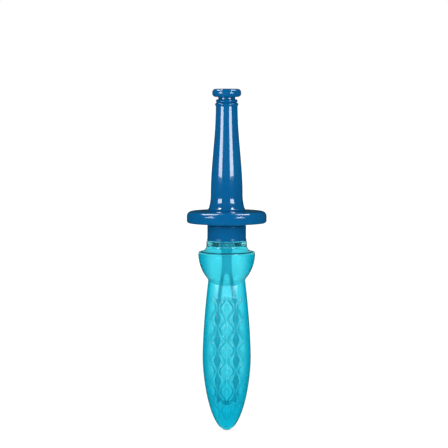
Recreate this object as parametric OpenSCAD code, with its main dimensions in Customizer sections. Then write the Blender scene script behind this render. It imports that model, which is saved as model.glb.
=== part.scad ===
// Long bubble wand. A hollow grip and a round guard sit on a screw cap that carries a long loop
// wand, and the cap screws onto a leaf-shaped sheath that holds the bubble solution.
// The axis is +Z, the sheath's tip is the origin and the broad front faces -Y.

/* [Sheath blade] */
// Width of the blade at its belly, side to side
belly_w = 45.4; // [40:0.2:54]
// Depth of the blade at its belly, front to back
belly_d = 36; // [32:0.5:44]
// Height of the belly above the tip
belly_z = 70; // [60:1:84]
// Width of the blade at the waist under the cup
waist_w = 34.6; // [30:0.2:40]
// Depth of the blade at the waist
waist_d = 20.4; // [18:0.2:26]
// Height of the waist above the tip
waist_z = 144.4; // [132:0.2:164]
// Wall of the blown sheath
sheath_wall = 1.2; // [0.8:0.1:1.6]
// Thickness of the sheath's tip, measured along the axis
tip_t = 1.9; // [1.4:0.1:3]

/* [Sheath relief] */
// Height of the raised lattice on the blade's front and back
relief_h = 0.7; // [0.4:0.05:0.9]
// Height above the tip at which the lattice starts
lattice_z = 9; // [8:0.5:14]
// Distance from the lattice's end to the bowl
lattice_gap = 9; // [7:0.5:16]
// Number of cells up the middle of each face
cell_count = 6; // [4:1:7]
// Spacing of the four waved lines at the belly
line_gap = 9; // [8:0.1:9.6]
// Width of a line at the belly
line_w = 2.2; // [1.4:0.1:2.3]
// Half distance of two lines where they come closest, at the belly
line_close = 1.6; // [1.5:0.05:2]
// Width of the drop in each cell, at the belly
drop_w = 6; // [4:0.2:7]

/* [Sheath cup and neck] */
// Diameter of the cup at its shoulder
cup_d = 53.6; // [49:0.2:62]
// Height of the bowl from its bottom to the shoulder
cup_h = 32.8; // [28:0.2:40]
// How far the bowl's bottom reaches below the waist
cup_lap = 7.6; // [5:0.2:10]
// Extra rounding of the shoulder's rim, over the wall
shoulder_round = 0.4; // [0.4:0.1:1.2]
// Height of the collar between the shoulder's flare and the cap
collar_h = 4; // [3:0.2:6]
// How far the collar stands out past the cap's skirt
collar_lip = 0.9; // [0.5:0.1:1.6]
// Diameter over the neck's thread
neck_d = 33.9; // [31:0.1:37]
// Wall of the neck, thread included
neck_wall = 2.9; // [2.4:0.1:3.4]
// Height of the neck above the collar
neck_h = 11; // [9:0.2:14]

/* [Seal and screw cap] */
// Thickness of the seal ring on the neck's rim
seal_t = 1.3; // [0.8:0.1:2]
// Wall of the cap's skirt
skirt_wall = 1.4; // [1.1:0.1:2]
// Height of the bead round the foot of the skirt
skirt_bead = 1.8; // [1.2:0.1:2.6]
// Thickness of the cap's top
cap_top_t = 2.6; // [2:0.1:4]
// Diameter of the plug on the wand's root, pressed into the cap
plug_d = 12; // [9:0.2:14]
// Length of that plug
plug_l = 13; // [9:0.2:16]
// Wall of the socket that takes the plug
socket_wall = 2; // [1.4:0.1:2.8]
// Wall of the spigot that holds the guard and the grip
spigot_wall = 2; // [1.4:0.1:2.6]

/* [Guard] */
// Diameter of the guard
guard_d = 75.8; // [68:0.2:90]
// Height of the guard's rim
rim_h = 11.2; // [9.5:0.1:13]
// Rounding of the rim's upper edge
rim_round = 4.6; // [3:0.1:5.6]
// Rise of the top from the rim to the foot of the grip
guard_rise = 0.4; // [0.3:0.1:2.4]
// How far the hub hangs below the rim
hub_drop = 2.2; // [1.4:0.1:3.4]
// Wall of the guard's shell
guard_wall = 3; // [2.6:0.1:3.6]
// Number of ribs under the guard
rib_count = 12; // [8:1:18]
// Thickness of each rib
rib_t = 1.4; // [1:0.1:2]

/* [Grip and pommel] */
// Length of the grip from the guard to the upper bead
grip_l = 105.8; // [90:0.2:130]
// Diameter of the grip above its foot
grip_base_d = 30.3; // [28:0.1:36]
// Diameter of the grip under its beads
grip_top_d = 20.6; // [18:0.1:26]
// Diameter of the grip's foot on the guard
foot_d = 35; // [33:0.2:42]
// Height of the straight ring at the foot
foot_h = 2.4; // [1.6:0.1:4]
// Height of the hollow flare over the foot
foot_flare_h = 13; // [9:0.2:16]
// Wall of the grip
grip_wall = 2.2; // [1.6:0.1:2.8]
// Height of each of the two beads
bead_h = 3.3; // [2.4:0.1:4.4]
// Depth of the grooves beside the beads
bead_groove = 0.9; // [0.5:0.1:1.2]
// Diameter of the pommel
pommel_d = 27.4; // [24:0.2:34]
// Height of the pommel
pommel_h = 7.6; // [6:0.1:10]
// Rounding of the pommel's edges
pommel_round = 3.2; // [2:0.1:3.8]
// Diameter of the neck under the pommel
pommel_neck_d = 16; // [14:0.2:18]
// Height of the neck under the pommel
pommel_neck_h = 2.2; // [1.4:0.1:3.4]
// Length of the peg that holds the pommel in the grip
peg_l = 9; // [6:0.2:14]

/* [Loop wand] */
// Space between the loop and the neck's bore, each side
loop_gap = 3; // [2:0.1:4]
// Height of the loop's rounded end above the sheath's tip
loop_end_z = 24; // [22:0.5:34]
// Width of the loop's rails
rail_w = 3.4; // [2.6:0.1:4]
// Thickness of the wand, front to back
wand_t = 5; // [3.6:0.1:6]
// Narrowest width of the stem
stem_w = 9.2; // [8:0.1:11]
// Length of the stem from its flange to the narrowest point
stem_l = 16; // [12:0.5:22]
// Distance from the stem's narrowest point down to where it splits into the loop
split_l = 15; // [12:0.5:20]
// Length over which the loop opens out under the stem
loop_taper_l = 56; // [44:1:66]
// Spacing of the ridges that hold the solution
ridge_pitch = 3; // [2.4:0.1:4]
// Height of those ridges
ridge_h = 0.5; // [0.3:0.05:0.7]
// Thickness of the flange on the wand's root
flange_t = 1.8; // [1.2:0.1:2.6]

/* [Fits] */
// Running clearance round the neck
run_gap = 0.05; // [0.02:0.01:0.1]
// Clearance of the pressed and snapped joints
press_gap = 0.03; // [0.02:0.01:0.06]
// Gap between the collar and the foot of the skirt
skirt_gap = 0.4; // [0.3:0.1:0.8]
// How far the spigot's snap lip stands out over the grip's inner ledge
snap_lip = 0.6; // [0.4:0.05:0.8]

/* [Hidden] */
$fn = 96;

handle_blue = [0.01, 0.38, 0.63];
clear_aqua = [0.13, 0.73, 0.82, 0.75];
pale_aqua = [0.35, 0.78, 0.84];
foam_white = [0.93, 0.94, 0.93];

// Powers of the blade's outline: the rounded tip, its width, and the draw-in to the waist
tip_power = 1.7;
width_power = 0.49;
waist_power = 1.65;
// Sharpness of the crease where the bowl meets the blade
crease_power = 24;
// Least half width of the blade's oval, and the angle up the bowl at which its rings start
least_half = 1;
bowl_start = 12;
// Sides of the sheath's loft, and its rings over the bowl and over the inner skin's tip and blade
loft_sides = 56;
bowl_rings = 13;
tip_rings = 10;
blade_rings = 8;
// The outer skin's rings under the lattice, in each of its cells, and between its end and the bowl
root_rings = 7;
cell_rings = 8;
waist_rings = 3;
// Columns of the loft that follow the lattice, each side of a face's middle, and the steps between crests
lattice_columns = 10;
crest_step = 3;
// Where a drop starts in the wave of its cell, the power of its outline, and its least half width
drop_start = 0.15;
drop_power = 0.8;
drop_least = 0.3;
// Lap of the lofted wall into the turned shoulder, and how far its skins lie inside it
lap_h = 0.3;
lap_in = 0.03;
lap_facet = 0.09;
// Steps of a quarter arc in a turned profile, and of the grip's long curve
arc_steps = 8;
grip_steps = 24;

// Sheath, from the bowl up to the mouth
bowl_z = waist_z - cup_lap;
shoulder_z = bowl_z + cup_h;
cup_r = cup_d / 2;
neck_r = neck_d / 2;
bore_r = neck_r - neck_wall;
skirt_in_r = neck_r + run_gap;
skirt_r = skirt_in_r + skirt_wall;
collar_r = skirt_r + collar_lip;
shoulder_r = sheath_wall + shoulder_round;
flare_r = cup_r - shoulder_r - collar_r;
flare_z = shoulder_z + shoulder_r + flare_r;
ledge_z = flare_z + collar_h;
mouth_z = ledge_z + neck_h;
mouth_round = 0.5;

// Lattice on the blade, whose sizes across shrink with the blade's width
lattice_top_z = bowl_z - lattice_gap;
cell_h = (lattice_top_z - lattice_z) / cell_count;

// Cap, standing on the seal
cap_under_z = mouth_z + seal_t;
cap_top_z = cap_under_z + cap_top_t;
skirt_z = ledge_z + skirt_gap;
bead_out = 0.4;
cap_chamfer = 1;
socket_r = plug_d / 2 + press_gap;
socket_out_r = socket_r + socket_wall;
socket_z = cap_under_z - plug_l;
grip_in_r = grip_base_d / 2 - grip_wall;
spigot_r = grip_in_r - snap_lip - press_gap;
hub_bore_r = spigot_r + press_gap;

// Guard, resting on the cap
hub_z = cap_top_z;
rim_z = hub_z + hub_drop;
guard_r = guard_d / 2;
rim_top_z = rim_z + rim_h;
hub_top_z = rim_top_z + guard_rise;
hub_margin = 0.6;
hub_r = foot_d / 2 + hub_margin;
rim_foot_round = 2.2;
rim_arc = 88;
cavity_fillet = 2;
rib_bite = 1;
rib_lift = 2;

// Grip, standing on the guard's hub
foot_r = foot_d / 2;
foot_edge = 0.5;
foot_flare_power = 2;
ledge_t = 6;
bead_step = 0.8;
bead_arc = 60;
grip_top_z = hub_top_z + grip_l;
beads_z = grip_top_z - 2 * bead_h;
flare_top_z = hub_top_z + foot_h + foot_flare_h;
peg_step = 2;
peg_chamfer = 0.6;
peg_end_gap = 1;
peg_r = pommel_neck_d / 2 - peg_step;
snap_z = hub_top_z + ledge_t + press_gap;
snap_h = 2;

// Wand, hanging from the cap's socket, with a plain length over the ridges
loop_r = bore_r - loop_gap;
stem_z = socket_z - flange_t;
narrow_z = stem_z - stem_l;
loop_end_c = loop_end_z + loop_r;
stem_margin = 0.8;
stem_top_r = socket_out_r - stem_margin;
plug_end_gap = 0.4;
plain_l = 10;
plain_steps = 4;
stem_steps = 10;
on_axis = 0.001;
apex_z = narrow_z - split_l;

// Points of an arc in a profile, from angle a0 to a1 round the point c
function arc(c, r, a0, a1, n = arc_steps) =
  [for (i = [0:n]) let (a = a0 + (a1 - a0) * i / n) c + r * [cos(a), sin(a)]];

// Smooth step from 0 to 1
function ease(u) = u * u * (3 - 2 * u);

// Half of the blade's width or depth at height z, for a skin whose tip is at floor_z
function blade_half(z, belly, waist, floor_z) =
  z < belly_z
    ? belly * pow(max(0, 1 - pow((belly_z - z) / (belly_z - floor_z), tip_power)), width_power)
    : max(least_half, belly - (belly - waist) * pow((z - belly_z) / (waist_z - belly_z), waist_power));

// Radius of the round bowl at height z
function bowl_half(z, r, h) =
  z > shoulder_z - h ? r * sqrt(max(0, 1 - pow((shoulder_z - z) / h, 2))) : 0;

// Distance of a skin from the axis at angle a and height z, where inset is its depth in the wall
function skin_r(a, z, inset, floor_z) =
  let (
    w = blade_half(z, belly_w / 2 - inset, waist_w / 2 - inset, floor_z),
    d = blade_half(z, belly_d / 2 - inset, waist_d / 2 - inset, floor_z),
    oval = w * d / sqrt(pow(d * cos(a), 2) + pow(w * sin(a), 2)),
    bowl = bowl_half(z, cup_r - inset, cup_h - inset)
  )
  pow(pow(oval, crease_power) + pow(bowl, crease_power), 1 / crease_power);

// Wave of the lattice at height z: -1 where the two inner lines meet, 1 where their cell is widest
function wave(z) = -cos(360 * (z - lattice_z) / cell_h);

// Share of its full width that a drop has where the wave of its cell is at w
function drop_share(w) = pow(max(0, (w - drop_start) / (1 - drop_start)), drop_power);

function drop_half(w) = max(drop_least, drop_w / 2 * drop_share(w));

// Place across the face of column n of 0 to 10: half a drop, a line, a whole drop and a line
function column_x(n, z) =
  let (
    w = wave(z),
    swing = line_gap / 2 - line_close,
    inner = line_gap / 2 + swing * w,
    outer = 2 * line_gap - inner,
    half = line_w / 2
  )
  concat(
    [0, drop_half(w)],
    [for (k = [-1:1]) inner + k * half],
    [for (k = [-1:1]) line_gap + k * drop_half(-w)],
    [for (k = [-1:1]) outer + k * half]
  )[n];

// Height of column n over the skin. Every third one is a crest, of a drop and of a line in turn.
function column_rise(n, z) =
  z <= lattice_z || z >= lattice_top_z || n % crest_step > 0 || n > lattice_columns
    ? 0
    : relief_h * [drop_share(wave(z)), 1, drop_share(-wave(z)), 1][n / crest_step];

// Angle of column n from the middle of its face: the lattice's, with even ones from there to the side.
// Towards the tip and the bowl all the columns become even.
function column_angle(n, z) =
  let (
    share = column_x(min(n, lattice_columns), min(z, lattice_top_z)) / (belly_w / 2),
    w = blade_half(z, belly_w / 2, waist_w / 2, 0),
    d = blade_half(z, belly_d / 2, waist_d / 2, 0),
    sweep = atan2(w * share, d * sqrt(1 - share * share)),
    past = max(0, n - lattice_columns) / (loft_sides / 4 - lattice_columns),
    even = 360 * n / loft_sides,
    fade = max(0, min(1, (bowl_z - z) / lattice_gap, z / lattice_z))
  )
  even + (sweep + (90 - sweep) * past - even) * fade;

// Ring of the outer skin, with the lattice in front and behind
function lattice_ring(z) =
  [for (i = [0:loft_sides - 1])
    let (
      half_turn = loft_sides / 2,
      n = i % half_turn - half_turn / 2,
      a = (i < half_turn ? 90 : 270) + sign(n) * column_angle(abs(n), z),
      r = skin_r(a, z, lap_in - column_rise(abs(n), z), 0)
    )
    [r * cos(a), r * sin(a), z]];

// Heights of the outer skin's rings from just over the tip to the bowl
lattice_heights = concat(
  [for (i = [1:root_rings]) lattice_z * pow(i / root_rings, 2)],
  [for (i = [1:cell_count * cell_rings]) lattice_z + cell_h * i / cell_rings],
  [for (i = [1:waist_rings]) lattice_top_z + lattice_gap * i / waist_rings]
);

function bowl_heights(inset) =
  [for (i = [1:bowl_rings])
    shoulder_z - (cup_h - inset) * cos(bowl_start + (90 - bowl_start) * i / bowl_rings)];

// Ring of the inner skin
function skin_ring(z, inset, floor_z) =
  [for (i = [0:loft_sides - 1])
    let (a = 360 * i / loft_sides, r = skin_r(a, z, inset, floor_z))
    [r * cos(a), r * sin(a), z]];

// Heights of the inner skin's rings from just over its floor to the shoulder
function skin_heights(inset, floor_z) = concat(
  [for (i = [1:tip_rings])
    belly_z - (belly_z - floor_z) * pow(cos(90 * i / tip_rings), 2 / tip_power)],
  [for (i = [1:blade_rings]) belly_z + (bowl_z + inset - belly_z) * i / blade_rings],
  bowl_heights(inset)
);

// Triangles between ring k and ring k + 1, with the rings starting at point `first`
function band(k, first) =
  [for (i = [0:loft_sides - 1])
    let (
      j = (i + 1) % loft_sides,
      low = first + k * loft_sides,
      high = low + loft_sides
    )
    each [[low + i, high + i, low + j], [low + j, high + i, high + j]]];

// Hollow loft of the blade and the bowl: up the outer skin, across the lap and down the inner skin
module lofted_wall() {
  inner = sheath_wall - lap_facet;
  up = concat(lattice_heights, bowl_heights(lap_in));
  down = skin_heights(inner, tip_t);
  rings = concat(
    [for (z = up) lattice_ring(z)],
    [skin_lap(lap_in + lap_facet / 2)],
    [skin_lap(inner)],
    [for (i = [len(down) - 1:-1:0]) skin_ring(down[i], inner, tip_t)]
  );
  count = len(rings);
  points = concat([[0, 0, 0]], [for (r = rings) each r], [[0, 0, tip_t]]);
  last = len(points) - 1;
  tip_fan = [for (i = [0:loft_sides - 1]) [0, 1 + i, 1 + (i + 1) % loft_sides]];
  floor_fan = [for (i = [0:loft_sides - 1])
    [last, last - loft_sides + (i + 1) % loft_sides, last - loft_sides + i]];
  sides = [for (k = [0:count - 2]) each band(k, 1)];
  polyhedron(points, concat(tip_fan, sides, floor_fan), convexity = 8);
}

function skin_lap(inset) =
  [for (i = [0:loft_sides - 1])
    let (a = 360 * i / loft_sides)
    [(cup_r - inset) * cos(a), (cup_r - inset) * sin(a), shoulder_z + lap_h]];

// Shoulder, collar and neck, turned about the axis
module turned_neck() {
  flare_c = [collar_r + flare_r, flare_z];
  rotate_extrude()
    polygon(concat(
      arc([cup_r - shoulder_r, shoulder_z], shoulder_r, 0, 90),
      arc(flare_c, flare_r, 270, 180),
      [[collar_r, ledge_z], [neck_r, ledge_z]],
      arc([neck_r - mouth_round, mouth_z - mouth_round], mouth_round, 0, 90),
      [[bore_r, mouth_z], [bore_r, ledge_z - sheath_wall]],
      arc(flare_c, flare_r + sheath_wall, 180, 270),
      [[cup_r - sheath_wall, shoulder_z + shoulder_round], [cup_r - sheath_wall, shoulder_z]]
    ));
}

module sheath() {
  color(clear_aqua)
    union() {
      lofted_wall();
      turned_neck();
    }
}

module seal_ring() {
  color(foam_white)
    rotate_extrude()
      translate([bore_r, mouth_z])
        square([neck_wall - mouth_round, seal_t]);
}

// Skirt, top, socket and spigot, turned about the axis
module screw_cap() {
  snap_r = spigot_r + snap_lip;
  color(handle_blue)
    rotate_extrude()
      polygon(concat(
        [[0, cap_under_z], [socket_r, cap_under_z], [socket_r, socket_z], [socket_out_r, socket_z]],
        [[socket_out_r, cap_under_z], [skirt_in_r, cap_under_z], [skirt_in_r, skirt_z]],
        [for (i = [0:arc_steps])
          let (u = i / arc_steps)
          [skirt_r + bead_out * sin(180 * u), skirt_z + skirt_bead * u]],
        [[skirt_r, cap_top_z - cap_chamfer], [skirt_r - cap_chamfer, cap_top_z]],
        [[spigot_r, cap_top_z], [spigot_r, snap_z], [snap_r, snap_z + snap_lip]],
        [[spigot_r, snap_z + snap_h], [spigot_r - spigot_wall, snap_z + snap_h]],
        [[spigot_r - spigot_wall, cap_top_z], [0, cap_top_z]]
      ));
}

// Shell with a rounded rim and a top that rises a little to the hub, open below, with ribs between them
module guard() {
  top_r = guard_r - rim_round;
  cavity_r = guard_r - guard_wall;
  module shell_profile() {
    polygon(concat(
      [[hub_bore_r, hub_z], [hub_r, hub_z], [hub_r, hub_top_z - guard_wall]],
      [[cavity_r - cavity_fillet, rim_top_z - guard_wall]],
      [[cavity_r, rim_top_z - guard_wall - cavity_fillet], [cavity_r, rim_z]],
      arc([guard_r - rim_foot_round, rim_z + rim_foot_round], rim_foot_round, 270, 360),
      arc([top_r, rim_top_z - rim_round], rim_round, 0, rim_arc),
      [[hub_r, hub_top_z], [hub_bore_r, hub_top_z]]
    ));
  }
  module rib_profile() {
    polygon([
      [hub_r - rib_bite, rim_z + rib_lift],
      [cavity_r + rib_bite, rim_z + rib_lift],
      [cavity_r + rib_bite, rim_top_z - guard_wall - cavity_fillet],
      [cavity_r - cavity_fillet, rim_top_z - guard_wall / 2],
      [hub_r - rib_bite, hub_top_z - guard_wall / 2]
    ]);
  }
  color(handle_blue)
    union() {
      rotate_extrude()
        shell_profile();
      for (i = [0:rib_count - 1])
        rotate([90, 0, 360 * i / rib_count])
          linear_extrude(height = rib_t, center = true)
            rib_profile();
    }
}

// Outer radius of the grip at height z, above the flare of its foot
function grip_r(z) =
  let (u = (beads_z - z) / (beads_z - flare_top_z))
  grip_top_d / 2 + (grip_base_d - grip_top_d) / 2 * ease(u);

module grip() {
  top_r = grip_top_d / 2;
  bead_r = bead_h / 2;
  waist_r = top_r - bead_groove;
  foot_top_z = hub_top_z + foot_h;
  outer = concat(
    [[foot_r - foot_edge, hub_top_z], [foot_r, hub_top_z + foot_edge], [foot_r, foot_top_z - foot_edge]],
    [for (i = [0:arc_steps])
      let (u = i / arc_steps, out = foot_r - foot_edge - grip_base_d / 2)
      [grip_base_d / 2 + out * pow(1 - u, foot_flare_power), foot_top_z + foot_flare_h * u]],
    [for (i = [1:grip_steps])
      let (z = flare_top_z + (beads_z - flare_top_z) * i / grip_steps)
      [grip_r(z), z]],
    arc([waist_r, beads_z + bead_r], bead_r, -bead_arc, bead_arc),
    arc([waist_r - bead_step, beads_z + 3 * bead_r], bead_r, -bead_arc, bead_arc),
    [[pommel_neck_d / 2, grip_top_z], [peg_r + press_gap, grip_top_z]]
  );
  hollow_top_z = grip_top_z - peg_l - peg_end_gap;
  inner = concat(
    [[peg_r + press_gap, hollow_top_z]],
    [for (i = [grip_steps:-1:0])
      let (z = flare_top_z + (hollow_top_z - grip_wall - flare_top_z) * i / grip_steps)
      [grip_r(z) - grip_wall, z]],
    [[grip_in_r, hub_top_z + ledge_t], [hub_bore_r, hub_top_z + ledge_t], [hub_bore_r, hub_top_z]]
  );
  color(handle_blue)
    rotate_extrude()
      polygon(concat(outer, inner));
}

module pommel() {
  under_z = grip_top_z + pommel_neck_h;
  top_z = under_z + pommel_h;
  peg_z = grip_top_z - peg_l;
  edge_r = pommel_d / 2 - pommel_round;
  color(handle_blue)
    rotate_extrude()
      polygon(concat(
        [[0, peg_z], [peg_r - peg_chamfer, peg_z], [peg_r, peg_z + peg_chamfer]],
        [[peg_r, grip_top_z], [pommel_neck_d / 2, grip_top_z], [pommel_neck_d / 2, under_z]],
        arc([edge_r, under_z + pommel_round], pommel_round, 270, 360),
        arc([edge_r, top_z - pommel_round], pommel_round, 0, 90),
        [[0, top_z]]
      ));
}

// Half width of the wand at height z, without its ridges
function wand_half(z) =
  z > narrow_z
    ? stem_w / 2 + (stem_top_r - stem_w / 2) * pow((z - narrow_z) / stem_l, 2)
    : stem_w / 2 + (loop_r - ridge_h - stem_w / 2) * ease(min(1, (narrow_z - z) / loop_taper_l));

// Long loop with ridged rails, on a flat stem with a round flange and a plug
module loop_wand() {
  ridge_top_z = apex_z - plain_l;
  ridge_steps = 2 * floor((ridge_top_z - loop_end_c) / ridge_pitch);
  step = (ridge_top_z - loop_end_c) / ridge_steps;
  end_r = loop_r - ridge_h;
  window_r = wand_half(apex_z) - rail_w;
  outer_side = concat(
    [[stem_top_r, stem_z + flange_t / 2]],
    [for (i = [0:stem_steps])
      let (z = stem_z + (ridge_top_z - stem_z) * i / stem_steps)
      [wand_half(z), z]],
    [for (i = [1:ridge_steps - 1])
      let (z = ridge_top_z - step * i)
      [wand_half(z) + (i % 2) * ridge_h, z]],
    arc([0, loop_end_c], end_r, 0, -90)
  );
  inner_side = concat(
    arc([0, apex_z], window_r, 90, 0),
    [for (i = [1:plain_steps - 1])
      let (z = apex_z + (ridge_top_z - apex_z) * i / plain_steps)
      [wand_half(z) - rail_w, z]],
    [for (i = [0:ridge_steps - 1])
      let (z = ridge_top_z - step * i)
      [wand_half(z) - rail_w - (i % 2) * ridge_h, z]],
    arc([0, loop_end_c], end_r - rail_w, 0, -90)
  );
  color(pale_aqua)
    union() {
      rotate([90, 0, 0])
        linear_extrude(height = wand_t, center = true)
          difference() {
            polygon(both_sides(outer_side));
            polygon(both_sides(inner_side));
          }
      translate([0, 0, stem_z])
        cylinder(h = flange_t, r = socket_out_r);
      translate([0, 0, stem_z])
        cylinder(h = flange_t + plug_l - plug_end_gap, r = plug_d / 2);
    }
}

// Closed outline from its right side, mirrored to the left
function both_sides(side) = concat(
  side,
  [for (i = [len(side) - 1:-1:0]) if (side[i][0] > on_axis) [-side[i][0], side[i][1]]]
);

sheath();
seal_ring();
screw_cap();
guard();
grip();
pommel();
loop_wand();
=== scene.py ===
import math

import bmesh
import bpy
import numpy as np
from mathutils import Matrix, Vector


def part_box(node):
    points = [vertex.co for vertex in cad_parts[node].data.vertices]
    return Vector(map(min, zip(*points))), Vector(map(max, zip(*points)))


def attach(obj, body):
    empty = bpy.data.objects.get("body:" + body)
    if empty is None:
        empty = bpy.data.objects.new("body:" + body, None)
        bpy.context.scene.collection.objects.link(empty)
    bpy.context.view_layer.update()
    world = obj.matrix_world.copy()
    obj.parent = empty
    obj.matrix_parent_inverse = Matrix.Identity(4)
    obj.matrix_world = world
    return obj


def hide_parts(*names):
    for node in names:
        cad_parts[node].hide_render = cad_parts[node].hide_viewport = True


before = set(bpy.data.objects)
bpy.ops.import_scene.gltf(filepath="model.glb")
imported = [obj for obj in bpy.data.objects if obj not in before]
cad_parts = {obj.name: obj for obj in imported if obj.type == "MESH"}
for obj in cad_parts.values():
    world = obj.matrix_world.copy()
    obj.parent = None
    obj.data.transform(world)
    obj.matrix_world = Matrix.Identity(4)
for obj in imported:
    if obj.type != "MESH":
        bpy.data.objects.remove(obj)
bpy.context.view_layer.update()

# Camera
# A long lens a good way off, lifted a little and aimed near the toy's middle, so that the outline is
# almost a flat drawing. Sizes are in millimetres all through, and mm turns them into metres.
mm = 0.001
frame_px, axis_px, tip_px = 448, 226.7, 431.0
mm_per_px = 0.95
sensor_w = 36
camera_far, camera_sees = 2600, 30000
camera_lift = math.radians(4.0)

aim_x = (frame_px / 2 - axis_px) * mm_per_px
aim_z = (tip_px - frame_px / 2) * mm_per_px / math.cos(camera_lift)
camera = bpy.data.objects.new("camera", bpy.data.cameras.new("camera"))
camera.data.sensor_width = sensor_w
camera.data.lens = sensor_w * camera_far / (frame_px * mm_per_px)
camera.data.clip_end = camera_sees * mm
camera.location = (
    aim_x * mm,
    -camera_far * math.cos(camera_lift) * mm,
    (aim_z + camera_far * math.sin(camera_lift)) * mm,
)
camera.rotation_euler = (math.pi / 2 - camera_lift, 0, 0)
bpy.context.scene.collection.objects.link(camera)
bpy.context.scene.camera = camera
bpy.context.scene.view_settings.view_transform = "Standard"


# Studio light
# Low soft boxes in front, one on each side, draw the streaks on the handle. Small boxes over them and
# two above the toy set sparks, and a broad fill lights it evenly. The room is white, but dim in a gloss.
room_white = (1, 1, 1, 1)
room_light = (0.30, 0.30, 0.30, 1)
room_mirror = (0.012, 0.055, 0.085, 1)
light_target = Vector((0, 0, 250)) * mm
# Each has its centre, its width and height, its watts, and whether a gloss mirrors it.
soft_boxes = [
    ("left_box", (-650, -560, 350), (430, 130), 1.1, True),
    ("right_box", (520, -640, 355), (400, 130), 1.05, True),
    ("left_spark", (-610, -540, 590), (180, 70), 0.75, True),
    ("right_spark", (500, -620, 600), (180, 70), 0.75, True),
    ("top_left_box", (-360, 160, 960), (380, 380), 2.6, True),
    ("top_right_box", (330, 160, 960), (300, 300), 1.8, True),
    ("fill", (0, -1500, 560), (1200, 500), 7.4, False),
]


class Wire:
    """One socket in a node tree. Sums on wires add Math nodes, so a pattern reads as a formula."""

    def __init__(self, tree, socket=None):
        self.tree = tree
        self.socket = socket

    def node(self, kind, settings=(), sockets=(), out=0):
        """Adds a node, sets it up, feeds its sockets by identifier, and returns the wire of one output."""
        made = self.tree.nodes.new(kind)
        for name, value in dict(settings).items():
            setattr(made, name, value)
        for name, value in dict(sockets).items():
            socket = next(s for s in made.inputs if s.identifier == name)
            if isinstance(value, Wire):
                self.tree.links.new(value.socket, socket)
            else:
                socket.default_value = value
        return Wire(self.tree, made.outputs[out] if made.outputs else None)

    def other(self, out):
        """Another output of the node that this wire leaves."""
        return Wire(self.tree, self.socket.node.outputs[out])

    def of(self, operation):
        """A function of this wire alone, such as its sine."""
        return self.node("ShaderNodeMath", {"operation": operation}, {"Value": self})

    def sum_of(self, operation, first, second):
        """A sum of two wires, or of a wire and a number."""
        return self.node("ShaderNodeMath", {"operation": operation}, {"Value": first, "Value_001": second})

    def most(self, other):
        return self.sum_of("MAXIMUM", self, other)

    def least(self, other):
        return self.sum_of("MINIMUM", self, other)

    def __add__(self, other):
        return self.sum_of("ADD", self, other)

    def __radd__(self, other):
        return self.sum_of("ADD", other, self)

    def __sub__(self, other):
        return self.sum_of("SUBTRACT", self, other)

    def __rsub__(self, other):
        return self.sum_of("SUBTRACT", other, self)

    def __mul__(self, other):
        return self.sum_of("MULTIPLY", self, other)

    def __rmul__(self, other):
        return self.sum_of("MULTIPLY", other, self)

    def __truediv__(self, other):
        return self.sum_of("DIVIDE", self, other)

    def __rtruediv__(self, other):
        return self.sum_of("DIVIDE", other, self)

    def __pow__(self, other):
        return self.sum_of("POWER", self, other)

    def __rpow__(self, other):
        return self.sum_of("POWER", other, self)

    def __abs__(self):
        return self.of("ABSOLUTE")


def mixed(share, first, second):
    """A colour between two, by the wire share."""
    return share.node(
        "ShaderNodeMix",
        {"data_type": "RGBA"},
        {"Factor_Float": share, "A_Color": first, "B_Color": second},
        out=2,
    )


for name, centre, size, watts, in_gloss in soft_boxes:
    lamp = bpy.data.objects.new(name, bpy.data.lights.new(name, "AREA"))
    lamp.data.shape = "RECTANGLE"
    lamp.data.size, lamp.data.size_y = size[0] * mm, size[1] * mm
    lamp.data.energy = watts
    lamp.visible_glossy = in_gloss
    lamp.location = Vector(centre) * mm
    lamp.rotation_euler = (lamp.location - light_target).to_track_quat("Z", "Y").to_euler()
    bpy.context.scene.collection.objects.link(lamp)

world = bpy.data.worlds.new("room")
world.use_nodes = True
world.node_tree.nodes.clear()
ray = Wire(world.node_tree).node("ShaderNodeLightPath", out="Is Camera Ray")
seen = ray.most(ray.other("Is Transmission Ray"))
unseen = mixed(ray.other("Is Glossy Ray"), room_light, room_mirror)
backdrop = ray.node("ShaderNodeBackground", {}, {"Color": mixed(seen, unseen, room_white)})
ray.node("ShaderNodeOutputWorld", {}, {"Surface": backdrop})
bpy.context.scene.world = world


# Floor
# A wide plain sheet that the tip touches. It is white to the eye, near the toy it keeps a soft shadow,
# and in a gloss it is as dim as the room.
floor_half = 9000
floor_paint_white = (0.86, 0.86, 0.86, 1)
floor_glow_white = (1.14, 1.14, 1.14, 1)
glow_near, glow_far = 0.74, 1.0
near_r, far_r = 250, 1100


def ramp(value, start, end, low=0.0, high=1.0):
    """A smooth step from low to high as the wire value goes from start to end."""
    return value.node(
        "ShaderNodeMapRange",
        {"interpolation_type": "SMOOTHSTEP"},
        {"Value": value, "From Min": start, "From Max": end, "To Min": low, "To Max": high},
    )


corner = floor_half * mm
floor_mesh = bpy.data.meshes.new("floor")
floor_corners = [(-corner, -corner, 0), (corner, -corner, 0), (corner, corner, 0), (-corner, corner, 0)]
floor_mesh.from_pydata(floor_corners, [], [(0, 1, 2, 3)])
floor = bpy.data.objects.new("floor", floor_mesh)
bpy.context.scene.collection.objects.link(floor)
floor_paint = bpy.data.materials.new("floor_paint")
floor_paint.use_nodes = True
floor_paint.node_tree.nodes.clear()
ray = Wire(floor_paint.node_tree).node("ShaderNodeLightPath", out="Is Camera Ray")
seen = ray.most(ray.other("Is Transmission Ray"))
mirrored = ray.other("Is Glossy Ray") * (1 - ray.other("Is Transmission Ray"))
floor_spot = ray.node("ShaderNodeTexCoord", out="Object")
away = ray.node("ShaderNodeVectorMath", {"operation": "LENGTH"}, {"Vector": floor_spot}, out="Value")
glow = ramp(away, near_r * mm, far_r * mm, glow_near, glow_far)
paint = ray.node("ShaderNodeBsdfDiffuse", {}, {"Color": floor_paint_white})
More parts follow.
